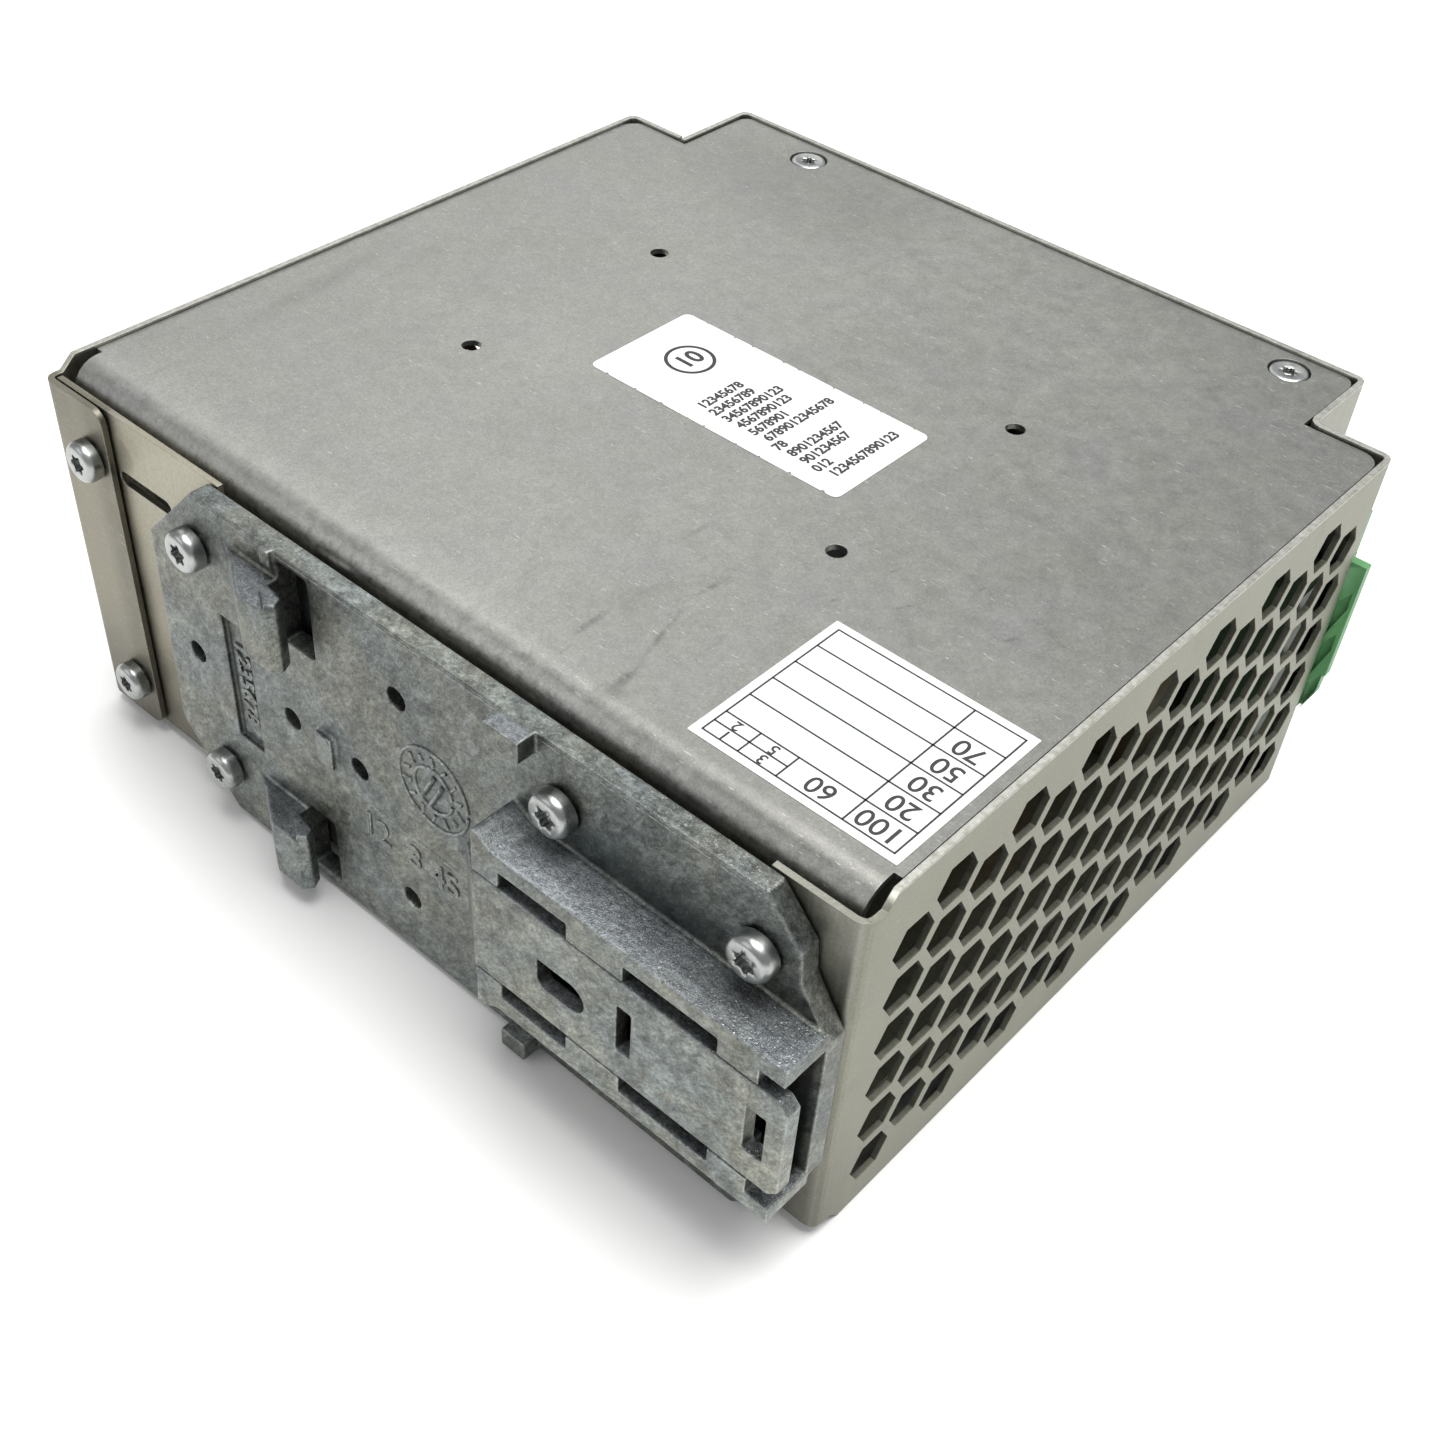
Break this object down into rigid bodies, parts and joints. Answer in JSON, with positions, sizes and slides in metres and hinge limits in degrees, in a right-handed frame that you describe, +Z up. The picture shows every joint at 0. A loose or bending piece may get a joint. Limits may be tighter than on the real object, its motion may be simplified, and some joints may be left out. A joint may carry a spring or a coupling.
{
  "type": "DIN rail power supply",
  "caption": "Box-shaped power supply in a perforated sheet-metal case, with a die-cast rail adapter and sprung foot on its back and pluggable terminals at its front corners.",
  "frame": {"origin": "centre of the bounding box in X and Y, at the height of the lower rim of the case that it rests on", "axes": "+X along the case height towards the input end, where the rail foot is; +Y from the rail side towards the front; +Z up through the side panel, the case lying on its side"},
  "size_m": [0.1334, 0.1304, 0.055],
  "materials": {
    "bare_sheet": "rolled sheet, lightly scratched",
    "panel_sheet": "dull, rubbed and smudged",
    "zinc_casting": "blue-grey passivated zinc, mottled",
    "bright_screw": "bright zinc plated",
    "spring_steel": "oiled wire",
    "green_plastic": "moulded",
    "board": "solder mask",
    "film": "clear amber film",
    "heat_sink": "extruded",
    "ferrite": "sintered",
    "tape": "yellow tape",
    "copper": "enamelled wire",
    "sleeve": "shrink sleeve",
    "black_plastic": "moulded",
    "blue_plastic": "moulded",
    "lamp": "tinted light pipe",
    "white_plastic": "moulded",
    "fuse_glass": "clear tube"
  },
  "bodies": {
    "case": {"chassis_band": "bare_sheet", "end_cover": "bare_sheet", "side_panel_upper": "panel_sheet", "side_panel_lower": "panel_sheet", "rail_adapter": "zinc_casting", "foot_spring": "spring_steel", "input_header": "green_plastic", "output_header": "green_plastic", "main_board": "board", "signal_board": "board", "insulating_sheet": "film", "primary_heat_sink": "heat_sink", "secondary_heat_sink": "heat_sink", "power_transistor": "black_plastic", "output_diode": "black_plastic", "bridge_rectifier": "black_plastic", "transformer_core": "ferrite", "transformer_winding": "tape", "film_capacitor": "tape", "input_choke": "copper", "output_choke": "copper", "input_fuse": "fuse_glass", "signal_relay": "white_plastic", "status_lamp": "lamp", "trimmer_housing": "blue_plastic", "adapter_screw_1": "bright_screw", "adapter_screw_2": "bright_screw", "adapter_screw_3": "bright_screw", "adapter_screw_4": "bright_screw", "adapter_screw_5": "bright_screw", "adapter_screw_6": "bright_screw", "cover_screw_1": "bright_screw", "bulk_capacitor_1": "sleeve", "cover_screw_2": "bright_screw", "bulk_capacitor_2": "sleeve", "output_capacitor_1": "sleeve", "output_capacitor_2": "sleeve", "output_capacitor_3": "sleeve", "board_standoff_1": "heat_sink", "board_standoff_2": "heat_sink", "board_standoff_3": "heat_sink", "board_standoff_4": "heat_sink", "side_panel_upper_stud_1": "bright_screw", "side_panel_upper_stud_2": "bright_screw", "side_panel_lower_stud_1": "bright_screw", "side_panel_lower_stud_2": "bright_screw"},
    "foot": {"rail_foot": "zinc_casting"},
    "input_plug_body": {"input_plug": "green_plastic"},
    "output_plug_body": {"output_plug": "green_plastic"},
    "trimmer": {"trimmer_rotor": "white_plastic"},
    "input_clamp_1": {"input_plug_clamp_screw_1": "bright_screw"},
    "input_clamp_2": {"input_plug_clamp_screw_2": "bright_screw"},
    "input_clamp_3": {"input_plug_clamp_screw_3": "bright_screw"},
    "output_clamp_1": {"output_plug_clamp_screw_1": "bright_screw"},
    "output_clamp_2": {"output_plug_clamp_screw_2": "bright_screw"},
    "output_clamp_3": {"output_plug_clamp_screw_3": "bright_screw"},
    "output_clamp_4": {"output_plug_clamp_screw_4": "bright_screw"}
  },
  "joints": [
    {"name": "rail_foot_slide", "type": "slide", "parent": "case", "child": "foot", "axis": [1, 0, 0], "range_m": [0, 0.005], "stiffness_N_per_m": 1500, "springref_m": -0.004},
    {"name": "input_plug_pull", "type": "slide", "parent": "case", "child": "input_plug_body", "axis": [0, 1, 0], "range_m": [0, 0.014]},
    {"name": "output_plug_pull", "type": "slide", "parent": "case", "child": "output_plug_body", "axis": [0, 1, 0], "range_m": [0, 0.014]},
    {"name": "voltage_trimmer_turn", "type": "hinge", "parent": "case", "child": "trimmer", "pos_m": [-0.039, 0.0613, 0.018], "axis": [0, 1, 0], "range_deg": [-135, 135]},
    {"name": "input_clamp_1_turn", "type": "hinge", "parent": "input_plug_body", "child": "input_clamp_1", "pos_m": [0.05995, 0.0588, 0.01798], "axis": [1, 0, 0], "continuous": true},
    {"name": "input_clamp_2_turn", "type": "hinge", "parent": "input_plug_body", "child": "input_clamp_2", "pos_m": [0.05995, 0.0588, 0.0256], "axis": [1, 0, 0], "continuous": true},
    {"name": "input_clamp_3_turn", "type": "hinge", "parent": "input_plug_body", "child": "input_clamp_3", "pos_m": [0.05995, 0.0588, 0.03322], "axis": [1, 0, 0], "continuous": true},
    {"name": "output_clamp_1_turn", "type": "hinge", "parent": "output_plug_body", "child": "output_clamp_1", "pos_m": [-0.05995, 0.0588, 0.0172], "axis": [-1, 0, 0], "continuous": true},
    {"name": "output_clamp_2_turn", "type": "hinge", "parent": "output_plug_body", "child": "output_clamp_2", "pos_m": [-0.05995, 0.0588, 0.0228], "axis": [-1, 0, 0], "continuous": true},
    {"name": "output_clamp_3_turn", "type": "hinge", "parent": "output_plug_body", "child": "output_clamp_3", "pos_m": [-0.05995, 0.0588, 0.0284], "axis": [-1, 0, 0], "continuous": true},
    {"name": "output_clamp_4_turn", "type": "hinge", "parent": "output_plug_body", "child": "output_clamp_4", "pos_m": [-0.05995, 0.0588, 0.034], "axis": [-1, 0, 0], "continuous": true}
  ]
}
